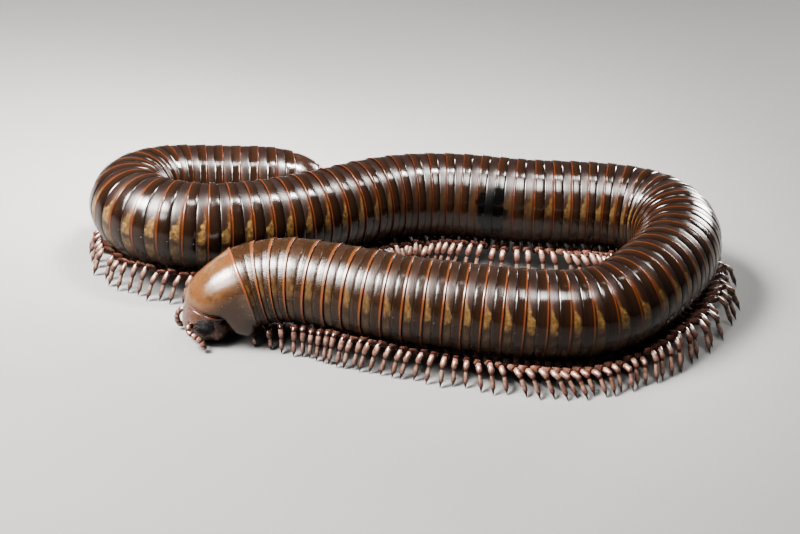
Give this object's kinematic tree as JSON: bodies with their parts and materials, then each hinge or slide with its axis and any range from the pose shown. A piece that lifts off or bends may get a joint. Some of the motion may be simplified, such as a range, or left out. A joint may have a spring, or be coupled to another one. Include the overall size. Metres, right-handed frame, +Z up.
{
  "type": "spirostreptus millipede",
  "caption": "Life-size still model of a spirostreptus millipede lying in a double bend, glossy dark ringed trunk with many pink legs.",
  "frame": {"origin": "centre of the model's footprint on the floor, at the feet's level", "axes": "+X to the right along the front run of the body, from the head's side, +Y to the back where the tail lies, +Z up"},
  "size_m": [0.0922, 0.053, 0.0146],
  "materials": {
    "trunk_shell": "glossy dark brown ring shells with orange-red rear rims; pink banded legs",
    "collum_shell": "glossy tan-brown shield",
    "head_shell": "dark reddish brown shell",
    "mouthpart_shell": "reddish brown shell",
    "eye_patch": "glossy black ocelli",
    "limb_cuticle": "pink-cream cuticle with dark joints",
    "telson_shell": "glossy dark brown shell"
  },
  "bodies": {
    "root": {"trunk_01": "trunk_shell", "trunk_02": "trunk_shell", "trunk_03": "trunk_shell", "trunk_04": "trunk_shell", "trunk_05": "trunk_shell", "trunk_06": "trunk_shell", "trunk_07": "trunk_shell", "trunk_08": "trunk_shell", "trunk_09": "trunk_shell", "trunk_10": "trunk_shell", "trunk_11": "trunk_shell", "trunk_12": "trunk_shell", "trunk_13": "trunk_shell", "trunk_14": "trunk_shell", "trunk_15": "trunk_shell", "collum": "collum_shell", "head": "head_shell", "cheek_left": "mouthpart_shell", "cheek_right": "mouthpart_shell", "mouth_plate": "mouthpart_shell", "eye_left": "eye_patch", "eye_right": "eye_patch", "antenna_left": "limb_cuticle", "antenna_right": "limb_cuticle", "telson": "telson_shell", "valve_left": "telson_shell", "valve_right": "telson_shell"}
  },
  "joints": []
}
